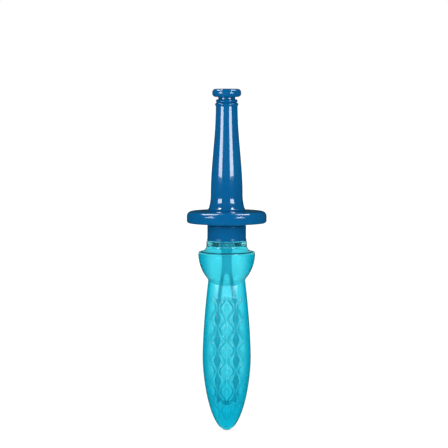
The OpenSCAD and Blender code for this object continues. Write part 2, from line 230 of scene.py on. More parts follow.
shine = ray.node("ShaderNodeEmission", {}, {"Color": mixed(mirrored, floor_glow_white, room_mirror)})
shown = (seen * glow).most(mirrored)
lit = ray.node("ShaderNodeMixShader", {}, {"Fac": shown, "Shader": paint, "Shader_001": shine})
ray.node("ShaderNodeOutputMaterial", {}, {"Surface": lit})
floor_mesh.materials.append(floor_paint)


# Sheath
# The toy's bottle, in which the wand is dipped, blown in one piece from clear aqua plastic: a leaf-shaped
# oval blade with a raised lattice, a round bowl over it, and a shoulder, collar and neck for the cap.
belly_half_w, belly_half_d, belly_z = 22.7, 18.0, 70.0
waist_half_w, waist_half_d, waist_z = 17.3, 10.2, 144.4
tip_power, width_power, waist_power, crease_power, least_half = 1.7, 0.49, 1.65, 24, 1.0
sheath_wall, tip_t = 1.2, 1.9
sheath_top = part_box("sheath")[1] / mm
cup_r, mouth_z = sheath_top.x, sheath_top.z
cup_lap, cup_h, shoulder_r = 7.6, 32.8, 1.6
bowl_z = waist_z - cup_lap
shoulder_z = bowl_z + cup_h
collar_r, collar_h = 19.3, 4.0
flare_r = cup_r - shoulder_r - collar_r
flare_z = shoulder_z + shoulder_r + flare_r
ledge_z = flare_z + collar_h
neck_root_r, bore_r = 16.0, 14.05
ledge_round, lip_round = 0.5, 0.4
# A ring this far under the mouth keeps the shading of the bore flat.
bore_flat = 3.1
sheath_sides, front_pack = 192, 0.25
# Rings in the tip, the blade and the bowl of each skin, and the angle at which the bowl's rings start.
outer_rows, inner_rows = (150, 150, 44), (28, 22, 16)
bowl_start = 10
shoulder_steps, flare_steps = 8, 14


def arc(centre, radius, start, end, steps=4):
    """Points of an arc from one angle to another, in degrees."""
    angles = np.radians(np.linspace(start, end, steps + 1))
    return [(centre[0] + radius * math.cos(a), centre[1] + radius * math.sin(a)) for a in angles]


def blade_half(z, belly, waist, floor_z):
    """Half of the blade's width or depth at height z, for a skin whose tip is at floor_z."""
    below = np.maximum(belly_z - z, 0) / (belly_z - floor_z)
    above = np.maximum(z - belly_z, 0) / (waist_z - belly_z)
    low = belly * np.maximum(0, 1 - below**tip_power) ** width_power
    high = np.maximum(least_half, belly - (belly - waist) * above**waist_power)
    return np.where(z < belly_z, low, high)


def ring_angles(sides, pack):
    """Angles of a ring's points, packed closer in front and behind."""
    even = np.linspace(0, 2 * np.pi, sides, endpoint=False)
    return even + pack * np.sin(2 * even)


def skin(heights, inset, floor_z):
    """Rings of one skin of the wall. They have more points in front and behind, where the lattice is."""
    z = np.asarray(heights)[:, None]
    angle = ring_angles(sheath_sides, front_pack)[None, :]
    half_w = blade_half(z, belly_half_w - inset, waist_half_w - inset, floor_z)
    half_d = blade_half(z, belly_half_d - inset, waist_half_d - inset, floor_z)
    oval = half_w * half_d / np.sqrt((half_d * np.cos(angle)) ** 2 + (half_w * np.sin(angle)) ** 2)
    drop = np.clip((shoulder_z - z) / (shoulder_z - bowl_z - inset), 0, 1)
    bowl = (cup_r - inset) * np.sqrt(1 - drop**2) * np.ones_like(angle)
    radius = (oval**crease_power + bowl**crease_power) ** (1 / crease_power)
    return np.stack([radius * np.cos(angle), radius * np.sin(angle), z * np.ones_like(angle)], axis=-1)


def skin_heights(inset, floor_z, tip_count, blade_count, bowl_count):
    """Heights of a skin's rings from just over its tip to the shoulder."""
    tip = np.cos(np.linspace(0, np.pi / 2, tip_count + 1)[1:]) ** (2 / tip_power)
    bowl = np.cos(np.radians(np.linspace(bowl_start, 90, bowl_count + 1)[1:]))
    return np.concatenate([
        belly_z - (belly_z - floor_z) * tip,
        np.linspace(belly_z, bowl_z + inset, blade_count + 1)[1:],
        shoulder_z - (shoulder_z - bowl_z - inset) * bowl,
    ])


def turned_rings(profile, sides=160, pack=0.0):
    """A ring of points for each (radius, height) of a profile turned about the axis."""
    angle = ring_angles(sides, pack)
    return [np.stack([r * np.cos(angle), r * np.sin(angle), np.full(sides, z)], axis=-1) for r, z in profile]


def new_mesh(name, points=(), edges=(), faces=()):
    """A mesh from points in millimetres."""
    mesh = bpy.data.meshes.new(name)
    mesh.from_pydata([(x * mm, y * mm, z * mm) for x, y, z in points], edges, faces)
    return mesh


def ringed_mesh(name, rings, start_z=None, end_z=None, closed=False):
    """A mesh skinned over rings. It ends at heights on the axis, or its last ring meets its first."""
    sides = len(rings[0])
    last = len(rings) - 1
    points = [tuple(p) for ring in rings for p in ring]
    pairs = [(row, row + 1) for row in range(last)] + ([(last, 0)] if closed else [])
    faces = [
        (low * sides + i, low * sides + (i + 1) % sides, high * sides + (i + 1) % sides, high * sides + i)
        for low, high in pairs
        for i in range(sides)
    ]
    for pole_z, row, way in ((start_z, 0, -1), (end_z, last, 1)):
        if pole_z is not None:
            points.append((0, 0, pole_z))
            for i in range(sides):
                fan = (row * sides + i, row * sides + (i + 1) % sides, len(points) - 1)
                faces.append(fan[::way])
    return new_mesh(name, points, faces=faces)


def new_piece(name, mesh, sharp=50):
    """A smooth-shaded piece, on which edges past an angle in degrees stay sharp."""
    mesh.shade_smooth()
    mesh.set_sharp_from_angle(angle=math.radians(sharp))
    piece = bpy.data.objects.new(name, mesh)
    bpy.context.scene.collection.objects.link(piece)
    return piece


flare_c = (collar_r + flare_r, flare_z)
shoulder_c = (cup_r - shoulder_r, shoulder_z)
neck_profile = (
    arc(shoulder_c, shoulder_r, 0, 90, shoulder_steps)[1:]
    + arc(flare_c, flare_r, 270, 180, flare_steps)[1:]
    + arc((collar_r - ledge_round, ledge_z - ledge_round), ledge_round, 0, 90)
    + arc((neck_root_r + ledge_round, ledge_z + ledge_round), ledge_round, 270, 180)
    + arc((neck_root_r - ledge_round, mouth_z - ledge_round), ledge_round, 0, 90)
    + arc((bore_r + lip_round, mouth_z - lip_round), lip_round, 90, 180)
    + [(bore_r, mouth_z - bore_flat), (bore_r, ledge_z - sheath_wall)]
    + arc(flare_c, flare_r + sheath_wall, 180, 270, flare_steps)[1:]
    + arc(shoulder_c, shoulder_r - sheath_wall, 90, 0)[1:-1]
)
outer = skin(skin_heights(0, 0, *outer_rows), 0, 0)
inner = skin(skin_heights(sheath_wall, tip_t, *inner_rows), sheath_wall, tip_t)
bottle_rings = list(outer) + turned_rings(neck_profile, sheath_sides, front_pack) + list(inner[::-1])
bottle = ringed_mesh("plain_bottle", bottle_rings, start_z=0, end_z=tip_t)

# The relief is an ogee lattice, as on old chased work. On each face four waved lines meet and part in
# turn, and each cell between them holds a pointed drop. It shrinks across with the blade's width.
relief_h, lattice_z, lattice_gap, cell_count = 0.7, 9.0, 9.0, 6
lattice_top_z = bowl_z - lattice_gap
line_gap, line_close, line_half, line_power = 9.0, 1.6, 0.95, 1.5
drop_half, drop_edge, drop_start, drop_power, drop_step = 3.0, 0.8, 0.15, 0.8, 0.45
end_fade, facing_least, facing_full = 2.4, 0.2, 0.4
# How far a point must face sideways for the painted shade at the blade's sides to start and to be full.
side_shade_least, side_shade_full = 0.5, 0.92
seam_h, seam_half, seam_facing = 0.2, 0.8, 0.7
# A number too small to matter, which keeps divisions safe.
tiny = 1e-6


def smooth(share):
    """A share from 0 to 1 that starts and ends gently. It takes numbers and wires."""
    return share * share * (3 - 2 * share)


def drop_height(off, swell, half, rise):
    """Height of a drop at a distance off its middle. Its cell swells and shrinks between 1 and -1."""
    share = ((swell - drop_start) / (1 - drop_start)).most(0) ** drop_power
    inside = (half * share - abs(off)).most(0)
    keel = inside / (half * share).most(tiny)
    return drop_step * smooth((inside / rise).least(1)) + (1 - drop_step) * share * keel


def new_tree(name, inputs):
    """A geometry tree with named inputs, the wire of its first input, and its sockets' identifiers."""
    tree = bpy.data.node_groups.new(name, "GeometryNodeTree")
    keys = {
        label: tree.interface.new_socket(label, in_out="INPUT", socket_type=kind).identifier
        for label, kind in inputs.items()
    }
    made = tree.interface.new_socket("Made", in_out="OUTPUT", socket_type="NodeSocketGeometry")
    keys["Made"] = made.identifier
    return tree, Wire(tree).node("NodeGroupInput"), keys


def split(vector, out="X"):
    """One part of a vector, on a wire from which the other parts can be had."""
    return vector.node("ShaderNodeSeparateXYZ", {}, {"Vector": vector}, out)


def end_tree(shape, finish, keys):
    """Ends a geometry tree: its copies become one mesh with one material."""
    real = shape.node("GeometryNodeRealizeInstances", {}, {"Geometry": shape})
    painted = shape.node("GeometryNodeSetMaterial", {}, {"Geometry": real, "Material": finish})
    shape.node("NodeGroupOutput", {}, {keys["Made"]: painted})


def grown(name, tree, keys, values, seed_mesh):
    """Runs a geometry tree on a scratch mesh, and returns a piece with the plain mesh that it makes."""
    seed = bpy.data.objects.new(name + "_seed", seed_mesh)
    bpy.context.scene.collection.objects.link(seed)
    maker = seed.modifiers.new(name, "NODES")
    maker.node_group = tree
    for label, value in values.items():
        maker[keys[label]] = value
    mesh = bpy.data.meshes.new_from_object(seed.evaluated_get(bpy.context.evaluated_depsgraph_get()))
    seed.modifiers.remove(maker)
    bpy.data.objects.remove(seed)
    bpy.data.meshes.remove(seed_mesh)
    return new_piece(name, mesh)


spots = np.array([point.co for point in bottle.vertices])
narrowing = blade_half(spots[:, 2] / mm, belly_half_w, waist_half_w, 0.0) / belly_half_w
across = np.abs(spots[:, 0]) / np.maximum(narrowing, tiny)
bottle.attributes.new("across", "FLOAT", "POINT").data.foreach_set("value", across)

lattice_tree, given, lattice_keys = new_tree("ogee_lattice", {
    "Bottle": "NodeSocketGeometry",
    "Relief": "NodeSocketFloat",
    "Foot": "NodeSocketFloat",
    "Top": "NodeSocketFloat",
    "Cells": "NodeSocketInt",
    "Gap": "NodeSocketFloat",
    "Close": "NodeSocketFloat",
    "Line": "NodeSocketFloat",
    "Drop": "NodeSocketFloat",
    "Rise": "NodeSocketFloat",
    "Fade": "NodeSocketFloat",
    "Seam": "NodeSocketFloat",
    "Seam Half": "NodeSocketFloat",
    "Shoulder": "NodeSocketFloat",
    "Finish": "NodeSocketMaterial",
})
spot = split(given.node("GeometryNodeInputPosition"))
normal = given.node("GeometryNodeInputNormal", out="Normal")
facing = split(normal)
sideways = facing * spot.of("SIGN")
frontways = facing.other("Y") * spot.other("Y").of("SIGN")
under = given.sum_of("LESS_THAN", spot.other("Z"), given.other("Shoulder"))

off_axis = given.node("GeometryNodeInputNamedAttribute", {"data_type": "FLOAT"}, {"Name": "across"})
gap = given.other("Gap")
level = spot.other("Z") - given.other("Foot")
wave_turn = 2 * math.pi * given.other("Cells") / (given.other("Top") - given.other("Foot"))
wave = (level * wave_turn).of("COSINE")
swing = gap / 2 - given.other("Close")
steep = swing * wave_turn * (level * wave_turn).of("SINE")
line_width = given.other("Line") * (1 + steep * steep).of("SQRT")
inner_line = gap / 2 - swing * wave
middle_drop = drop_height(off_axis, 0 - wave, given.other("Drop"), given.other("Rise"))
side_drop = drop_height(off_axis - gap, wave, given.other("Drop"), given.other("Rise"))
height = middle_drop.most(side_drop)
for waved_line in (inner_line, 2 * gap - inner_line):
    off_line = (abs(off_axis - waved_line) / line_width).least(1)
    height = height.most((1 - off_line * off_line) ** line_power)
from_end = level.least(given.other("Top") - spot.other("Z"))
height = height * ramp(from_end, 0.0, given.other("Fade")) * ramp(frontways, facing_least, facing_full)
relief = height * given.other("Relief")

# The edge attribute marks the blade's sides and flank the relief's slopes, where the finish paints shade.
point_mark = {"data_type": "FLOAT", "domain": "POINT"}
# The blade's sides below the shoulder, where the finish paints shade.
side_shade = ramp(sideways, side_shade_least, side_shade_full) * under
side_shade_stored = given.node(
    "GeometryNodeStoreNamedAttribute", point_mark, {"Geometry": given, "Name": "edge", "Value": side_shade}
)
relief_lift = given.node("ShaderNodeVectorMath", {"operation": "SCALE"}, {"Vector": normal, "Scale": relief})
chased = given.node("GeometryNodeSetPosition", {}, {"Geometry": side_shade_stored, "Offset": relief_lift})
plain_normal = given.node(
    "GeometryNodeSampleIndex",
    {"data_type": "FLOAT_VECTOR", "domain": "POINT"},
    {"Geometry": given, "Value": normal, "Index": given.node("GeometryNodeInputIndex")},
)
likeness = given.node(
    "ShaderNodeVectorMath",
    {"operation": "DOT_PRODUCT"},
    {"Vector": plain_normal, "Vector_001": normal},
    out="Value",
)
slope = likeness.of("ARCCOSINE").of("TANGENT").least(1)
# The relief's slope, stored for the shade that the finish paints along it.
relief_shade_stored = given.node(
    "GeometryNodeStoreNamedAttribute", point_mark, {"Geometry": chased, "Name": "flank", "Value": slope}
)
off_seam = spot.other("Y") / given.other("Seam Half")
on_side = given.sum_of("GREATER_THAN", sideways, seam_facing) * under
seam = given.other("Seam") * (0 - off_seam * off_seam).of("EXPONENT") * on_side
seam_lift = given.node("ShaderNodeVectorMath", {"operation": "SCALE"}, {"Vector": normal, "Scale": seam})
seamed = given.node("GeometryNodeSetPosition", {}, {"Geometry": relief_shade_stored, "Offset": seam_lift})
end_tree(seamed, given.other("Finish"), lattice_keys)


def new_finish(name):
    """An empty material, and a wire that carries the place on the piece."""
    finish = bpy.data.materials.new(name)
    finish.use_nodes = True
    finish.node_tree.nodes.clear()
    return finish, Wire(finish.node_tree).node("ShaderNodeTexCoord", out="Object")


def noise(place, scale, detail=2.0, twist=0.0):
    """A soft cloudy pattern, whose scale is in waves to the metre."""
    sockets = {"Vector": place, "Scale": scale, "Detail": detail, "Distortion": twist}
    return place.node("ShaderNodeTexNoise", {}, sockets)


def bump(pattern, strength, depth):
    """A normal that is tipped by a pattern of some depth in millimetres."""
    sockets = {"Height": pattern, "Strength": strength, "Distance": depth * mm}
    return pattern.node("ShaderNodeBump", {}, sockets)


def end_finish(place, sockets):
    """Ends a material with one shader."""
    shader = place.node("ShaderNodeBsdfPrincipled", {}, sockets)
    place.node("ShaderNodeOutputMaterial", {}, {"Surface": shader})


# The wall's tint varies at random in clouds and grows deeper towards the tip.
aqua_light_tint = (0.33, 0.90, 0.96, 1)
aqua_deep_tint = (0.016, 0.68, 0.82, 1)
# A darker aqua painted as shade at the blade's sides.
aqua_side_shade = (0.0, 0.47, 0.61, 1)
# A darker aqua painted as shade along the relief's slopes.
aqua_relief_shade = (0.0, 0.36, 0.48, 1)
tip_low_z, tip_high_z, tip_share = 10, 75, 0.55
# The last share sets how strongly the painted shade along the relief's slopes shows.
cloud_share, ripple_share, relief_shade_share = 0.75, 0.25, 0.9
aqua_rough, aqua_uneven = 0.08, 0.08
aqua_plastic, place = new_finish("aqua_plastic")
cloud = noise(place, scale=26.0, detail=3.0)
ripple = noise(place, scale=170.0)
# Where the relief slopes, the finish paints shade.
painted_relief_shade = place.node("ShaderNodeAttribute", {"attribute_name": "flank"}, out="Fac")
# Where the blade's sides turn away, the finish paints shade.
painted_side_shade = place.node("ShaderNodeAttribute", {"attribute_name": "edge"}, out="Fac")
tipward = ramp(split(place, "Z"), tip_low_z * mm, tip_high_z * mm, tip_share, 0.0)
wall_colour = mixed(cloud_share * cloud + tipward, aqua_light_tint, aqua_deep_tint)
end_finish(place, {
    # Painted shade over the wall's colour: darker at the blade's sides, and darker still along the relief's
    # slopes.
    "Base Color": mixed(painted_relief_shade * relief_shade_share, mixed(painted_side_shade, wall_colour, aqua_side_shade), aqua_relief_shade),
    "Roughness": aqua_rough + aqua_uneven * cloud,
    "Normal": bump(cloud + ripple_share * ripple, strength=0.12, depth=0.6),
    "IOR": 1.46,
    "Transmission Weight": 0.97,
})
sheath = grown("sheath_bottle", lattice_tree, lattice_keys, {
    "Relief": relief_h * mm,
    "Foot": lattice_z * mm,
    "Top": lattice_top_z * mm,
    "Cells": cell_count,
    "Gap": line_gap * mm,
    "Close": line_close * mm,
    "Line": line_half * mm,
    "Drop": drop_half * mm,
    "Rise": drop_edge * mm,
    "Fade": end_fade * mm,
    "Seam": seam_h * mm,
    "Seam Half": seam_half * mm,
    "Shoulder": shoulder_z * mm,
    "Finish": aqua_plastic,
}, bottle)
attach(sheath, "sheath")
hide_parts("sheath")


# Neck thread
# One round rib of the same blown plastic that winds a turn and a quarter up the neck and thins out at
# both ends. The cap's rib passes it with no contact at every angle of the turn.
thread_pitch, thread_turns, thread_rise = 4.2, 1.25, 2.9
thread_start_z = ledge_z + thread_rise
neck_thread_r, neck_thread_half = 15.5, 1.0
turn_steps, rib_sides = 72, 12
runout_rate, runout_least = 8, 0.12

thread_tree, given, thread_keys = new_tree("screw_thread", {
    "Radius": "NodeSocketFloat",
    "Pitch": "NodeSocketFloat",
    "Turns": "NodeSocketFloat",
    "Half": "NodeSocketFloat",
    "Foot": "NodeSocketFloat",
    "Finish": "NodeSocketMaterial",
})
spiral = given.node("GeometryNodeCurveSpiral", {}, {
    "Resolution": turn_steps,
    "Rotations": given.other("Turns"),
    "Start Radius": given.other("Radius"),
    "End Radius": given.other("Radius"),
    "Height": given.other("Turns") * given.other("Pitch"),
})
lift = given.node("ShaderNodeCombineXYZ", {}, {"Z": given.other("Foot")})
spiral = given.node("GeometryNodeSetPosition", {}, {"Geometry": spiral, "Offset": lift})
along = given.node("GeometryNodeSplineParameter", out="Factor")
runout = (runout_rate * along.least(1 - along) + runout_least).least(1.0)
rib_size = {"Resolution": rib_sides, "Radius": given.other("Half")}
rib = given.node("GeometryNodeCurvePrimitiveCircle", {}, rib_size)
thread = given.node(
    "GeometryNodeCurveToMesh",
    {},
    {"Curve": spiral, "Profile Curve": rib, "Scale": runout, "Fill Caps": True},
)
end_tree(thread, given.other("Finish"), thread_keys)

neck_thread = grown("neck_thread", thread_tree, thread_keys, {
    "Radius": neck_thread_r * mm,
    "Pitch": thread_pitch * mm,
    "Turns": thread_turns,
    "Half": neck_thread_half * mm,
    "Foot": thread_start_z * mm,
    "Finish": aqua_plastic,
}, new_mesh("neck_thread_seed"))
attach(neck_thread, "sheath")


# Seal ring
# A flat ring stamped from a sheet of white closed-cell foam. It lies loose on the neck's rim, and the
# cap's top presses it tight.
seal_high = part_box("seal_ring")[1] / mm
seal_out_r, cap_under_z = seal_high.x, seal_high.z
# An edge of a moulded or stamped piece is rounded over one of these lengths.
crisp, soft, full = 0.2, 0.3, 0.8


def eased(corners, closed=False, steps=4, hold=0.2, limit=0.4):
    """A profile whose corners (radius, height, ease) are rounded over the length ease on both sides.

    A point just past each end of the rounding keeps the shading of the straight part flat.
    """
    profile = []
    for k, (r, z, ease) in enumerate(corners):
        here = np.array((r, z))
        if ease == 0 or (not closed and k in (0, len(corners) - 1)):
            profile.append((r, z))
            continue
        to_last = np.array(corners[k - 1][:2]) - here
        to_next = np.array(corners[(k + 1) % len(corners)][:2]) - here
        start = here + to_last * min(limit, ease / np.linalg.norm(to_last))
        end = here + to_next * min(limit, ease / np.linalg.norm(to_next))
        profile.append(tuple(start + (start - here) * hold))
        for t in np.linspace(0, 1, steps + 1):
            profile.append(tuple((1 - t) ** 2 * start + 2 * t * (1 - t) * here + t * t * end))
        profile.append(tuple(end + (end - here) * hold))
    return profile


def turned_piece(name, profile, start_z=None, end_z=None):
    """A piece turned from a profile, which runs from the axis to the axis or is a closed line."""
    mesh = ringed_mesh(name, turned_rings(profile), start_z, end_z, closed=start_z is None)
    return new_piece(name, mesh)


seal_profile = eased(
    [
        (bore_r, mouth_z, soft),
        (seal_out_r, mouth_z, soft),
        (seal_out_r, cap_under_z, soft),
        (bore_r, cap_under_z, soft),
    ],
    closed=True,
)
seal = turned_piece("seal_foam_ring", seal_profile)
foam_white = (0.86, 0.87, 0.86, 1)
foam_grey = (0.72, 0.75, 0.75, 1)
cell_scale, cell_share, soil_share = 2200.0, 0.4, 0.5
foam, place = new_finish("foam")
foam_cells = place.node("ShaderNodeTexVoronoi", {}, {"Vector": place, "Scale": cell_scale})
soil = noise(place, scale=300.0)
end_finish(place, {
    "Base Color": mixed(soil_share * soil + cell_share * foam_cells, foam_white, foam_grey),
    "Roughness": 0.85,
    "Normal": bump(foam_cells, strength=0.5, depth=0.2),
})
seal.data.materials.append(foam)
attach(seal, "seal")
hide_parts("seal_ring")


# Screw cap
# Moulded in opaque blue plastic: a skirt with a bead round its foot and a thread inside, a socket under
# its top for the wand's plug, and a spigot with a snap lip that holds the guard and the grip.
socket_z, spigot_top_z = (end.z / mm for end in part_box("screw_cap"))
cap_top_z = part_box("guard")[0].z / mm
# The gap between pieces that are pressed or snapped together, and between the two threads.
press_gap, run_gap = 0.03, 0.05
plug_r, socket_wall = 6.0, 2.0
socket_r = plug_r + press_gap
socket_out_r = socket_r + socket_wall
skirt_in_r, skirt_wall, skirt_gap, skirt_bead, bead_out = 17.0, 1.4, 0.4, 1.8, 0.4
skirt_r = skirt_in_r + skirt_wall
skirt_z = ledge_z + skirt_gap
spigot_r, spigot_wall, snap_lip, snap_h = 12.32, 2.0, 0.6, 2.0
spigot_in_r = spigot_r - spigot_wall
snap_z = spigot_top_z - snap_h
cap_thread_half = 0.8
cap_thread_r = neck_thread_r + neck_thread_half + run_gap + cap_thread_half
cap_thread_z = thread_start_z - thread_pitch / 4
bead_first, bead_steps = 0.04, 12
# A ring this far inside the edge of a flat end keeps its shading flat.
flat_in = 1.0


def on_curve(points):
    """Profile corners with no rounding, for points that already lie on a curve."""
    return [(r, z, 0) for r, z in points]


foot_bead = [
    (skirt_r + bead_out * math.sin(math.pi * share), skirt_z + skirt_bead * share)
    for share in np.linspace(bead_first, 1, bead_steps)
]
cap_profile = eased(
    [
        (socket_r - flat_in, cap_under_z, 0),
        (socket_r, cap_under_z, soft),
        (socket_r, socket_z, soft),
        (socket_out_r, socket_z, soft),
        (socket_out_r, cap_under_z, full),
        (skirt_in_r, cap_under_z, full),
        (skirt_in_r, skirt_z, soft),
    ]
    + on_curve(foot_bead)
    + [
        (skirt_r, skirt_z + skirt_bead + bead_out, 0),
        (skirt_r, cap_top_z, full),
        (spigot_r, cap_top_z, soft),
        (spigot_r, snap_z, crisp),
        (spigot_r + snap_lip, snap_z + snap_lip, crisp),
        (spigot_r, spigot_top_z, soft),
        (spigot_in_r, spigot_top_z, soft),
        (spigot_in_r, cap_top_z, full),
        (spigot_in_r - full - flat_in, cap_top_z, 0),
    ]
)
cap = turned_piece("cap_body", cap_profile, cap_under_z, cap_top_z)

blue_deep = (0.0012, 0.104, 0.300, 1)
blue_clear = (0.0018, 0.135, 0.355, 1)
blue_rough, blue_uneven = 0.08, 0.06
part_half, part_depth, peel_share = 0.22, 0.6, 0.3
blue_plastic, place = new_finish("blue_plastic")
swirl = noise(place, scale=34.0, detail=3.0, twist=0.6)
peel = noise(place, scale=420.0)
part_line = ramp(abs(split(place, "Y")), 0.0, part_half * mm, part_depth, 0.0)
end_finish(place, {
    "Base Color": mixed(swirl, blue_deep, blue_clear),
    "Roughness": blue_rough + blue_uneven * swirl,
    "Coat Weight": 1.0,
    "Coat Roughness": 0.03,
    "Coat IOR": 1.6,
    "Normal": bump(peel_share * peel + part_line, strength=0.1, depth=0.3),
})
cap.data.materials.append(blue_plastic)
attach(cap, "wand")
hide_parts("screw_cap")

cap_thread = grown("cap_thread", thread_tree, thread_keys, {
    "Radius": cap_thread_r * mm,
    "Pitch": thread_pitch * mm,
    "Turns": thread_turns,
    "Half": cap_thread_half * mm,
    "Foot": cap_thread_z * mm,
    "Finish": blue_plastic,
}, new_mesh("cap_thread_seed"))
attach(cap_thread, "wand")


# Loop wand
# Moulded in satin pale aqua plastic: a plug pressed into the cap's socket, a round flange, a flat waisted
# stem, and a long loop whose rails carry cross ridges that hold a soap film.
loop_low, loop_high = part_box("loop_wand")
plug_top_z = loop_high.z / mm
wand_t, rail_w, edge_round = 5.0, 3.4, 1.0
flange_t, stem_l, split_l, plain_l, loop_taper_l = 1.8, 16.0, 15.0, 10.0, 56.0
stem_half_w, stem_margin, stem_lap = 4.6, 0.8, 0.9
ridge_pitch, ridge_h, ridge_half, ridge_depth = 3.0, 0.5, 0.75, 3.4
flange_r = socket_out_r
stem_top_r = flange_r - stem_margin
stem_z = socket_z - flange_t
narrow_z = stem_z - stem_l
apex_z = narrow_z - split_l
ridge_first_z = apex_z - plain_l
loop_half = loop_high.x / mm - ridge_h
bend_z = loop_low.z / mm + loop_half
stem_steps, rail_steps, bend_steps, edge_steps, ridge_sides = 40, 150, 24, 3, 16
wand_sharp = 40


def wand_half(z):
    """Half width of the wand at height z, without its ridges."""
    if z > narrow_z:
        return stem_half_w + (stem_top_r - stem_half_w) * ((z - narrow_z) / (stem_z - narrow_z)) ** 2
    return stem_half_w + (loop_half - stem_half_w) * smooth(min(1, (narrow_z - z) / loop_taper_l))


def both_sides(right):
    """A closed outline from its right side, mirrored to the left without the points on the axis."""
    return right + [(-x, z) for x, z in right[::-1] if x > tiny]


bend_c = (0, bend_z)
rail_z = np.linspace(apex_z, bend_z, rail_steps)
outer_line = both_sides(
    [(wand_half(z), z) for z in np.linspace(stem_z + stem_lap, apex_z, stem_steps)[:-1]]
    + [(wand_half(z), z) for z in rail_z[:-1]]
    + arc(bend_c, loop_half, 0, -90, bend_steps)
)
window_line = both_sides(
    arc((0, apex_z), wand_half(apex_z) - rail_w, 90, 0, bend_steps)[:-1]
    + [(wand_half(z) - rail_w, z) for z in rail_z[:-1]]
    + arc(bend_c, loop_half - rail_w, 0, -90, bend_steps)
)
plate = bpy.data.curves.new("wand_plate", "CURVE")
plate.dimensions, plate.fill_mode = "2D", "BOTH"
plate.extrude = (wand_t / 2 - edge_round) * mm
plate.bevel_depth, plate.offset = edge_round * mm, -edge_round * mm
plate.bevel_resolution = edge_steps
for outline in (outer_line, window_line):
    spline = plate.splines.new("POLY")
    spline.points.add(len(outline) - 1)
    for point, (x, z) in zip(spline.points, outline):
        point.co = (x * mm, z * mm, 0, 1)
    spline.use_cyclic_u = True
flat = bpy.data.objects.new("wand_flat", plate)
bpy.context.scene.collection.objects.link(flat)
loop_mesh = bpy.data.meshes.new_from_object(flat.evaluated_get(bpy.context.evaluated_depsgraph_get()))
bpy.data.objects.remove(flat)
loop_mesh.transform(Matrix.Rotation(math.pi / 2, 4, "X"))
work = bmesh.new()
work.from_mesh(loop_mesh)
bmesh.ops.remove_doubles(work, verts=work.verts, dist=tiny)
bmesh.ops.recalc_face_normals(work, faces=work.faces)
work.to_mesh(loop_mesh)
work.free()
loop = new_piece("loop_and_stem", loop_mesh, wand_sharp)

plug_profile = eased([
    (flange_r - flat_in, stem_z, 0),
    (flange_r, stem_z, soft),
    (flange_r, socket_z, crisp),
    (plug_r, socket_z, soft),
    (plug_r, plug_top_z, soft),
    (plug_r - flat_in, plug_top_z, 0),
])
plug = turned_piece("plug_and_flange", plug_profile, stem_z, plug_top_z)

aqua_pale = (0.015, 0.64, 0.74, 1)
aqua_dull = (0.008, 0.53, 0.63, 1)
satin_rough, satin_uneven = 0.17, 0.12
satin_plastic, place = new_finish("satin_plastic")
flow = noise(place, scale=60.0, detail=3.0)
grain = noise(place, scale=1500.0)
end_finish(place, {
    "Base Color": mixed(flow, aqua_pale, aqua_dull),
    "Roughness": satin_rough + satin_uneven * flow,
    "Normal": bump(grain, strength=0.15, depth=0.2),
})
loop.data.materials.append(satin_plastic)
plug.data.materials.append(satin_plastic)

ridge_tree, given, ridge_keys = new_tree("rail_ridges", {
    "Rail": "NodeSocketGeometry",
    "Pitch": "NodeSocketFloat",
    "Across": "NodeSocketFloat",
    "Along": "NodeSocketFloat",
    "Depth": "NodeSocketFloat",
    "Finish": "NodeSocketMaterial",
})
rail = given.node("GeometryNodeMeshToCurve", {}, {"Mesh": given})
stations = given.node(
    "GeometryNodeResampleCurve", {"mode": "LENGTH"}, {"Curve": rail, "Length": given.other("Pitch")}
)
bar_size = {"Vertices": ridge_sides, "Radius": 1.0, "Depth": given.other("Depth")}
bar = given.node("GeometryNodeMeshCylinder", {}, bar_size)
bar_shape = {"X": given.other("Along"), "Y": given.other("Across"), "Z": 1.0}
bar = given.node("GeometryNodeTransform", {}, {
    "Geometry": bar,
    "Rotation": (math.pi / 2, 0, 0),
    "Scale": given.node("ShaderNodeCombineXYZ", {}, bar_shape),
})
heading = split(given.node("GeometryNodeInputTangent"))
lean = given.sum_of("ARCTAN2", 0 - heading.other("Z"), heading)
lean = given.node("ShaderNodeCombineXYZ", {}, {"Y": lean})
lean = given.node("FunctionNodeEulerToRotation", {}, {"Euler": lean})
bars = given.node(
    "GeometryNodeInstanceOnPoints", {}, {"Points": stations, "Instance": bar, "Rotation": lean}
)
end_tree(bars, given.other("Finish"), ridge_keys)

rail_mid = [(wand_half(z) - rail_w / 2, 0, z) for z in np.linspace(ridge_first_z, bend_z, rail_steps)]
rail_mid += [(x, 0, z) for x, z in arc(bend_c, loop_half - rail_w / 2, 0, -90, bend_steps)[1:]]
rail_mid += [(-x, y, z) for x, y, z in rail_mid[-2::-1]]
rail_edges = [(k, k + 1) for k in range(len(rail_mid) - 1)]
ridges = grown("loop_ridges", ridge_tree, ridge_keys, {
    "Pitch": ridge_pitch * mm,
    "Across": (rail_w / 2 + ridge_h) * mm,
    "Along": ridge_half * mm,
    "Depth": ridge_depth * mm,
    "Finish": satin_plastic,
}, new_mesh("rail_seed", rail_mid, rail_edges))
for piece in (loop, plug, ridges):
    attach(piece, "wand")
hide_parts("loop_wand")


# Guard
# A round hand guard moulded in the same blue plastic: a shallow shell with a rounded rim, open below,
# with a hub that sits on the cap round its spigot and ribs from the hub to the rim.
guard_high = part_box("guard")[1] / mm
guard_r, hub_top_z = guard_high.x, guard_high.z
hub_r, hub_drop, hub_round = 18.1, 2.2, 1.2
hub_bore_r = spigot_r + press_gap
rim_h, rim_round, rim_foot, rim_arc, rim_steps = 11.2, 4.6, 2.2, 88, 12
rim_z = cap_top_z + hub_drop
rim_top_z = rim_z + rim_h
guard_wall, cavity_round = 3.0, 2.0
cavity_r = guard_r - guard_wall
rib_count, rib_t, rib_lap, rib_lift, rib_in_drop, rib_out_drop = 12, 1.4, 1.0, 2.0, 1.6, 2.6
rib_in_r, rib_out_r = hub_r - rib_lap, cavity_r + rib_lap
rib_low_z = rim_z + rib_lift
rib_in_z, rib_out_z = hub_top_z - rib_in_drop, rim_top_z - rib_out_drop

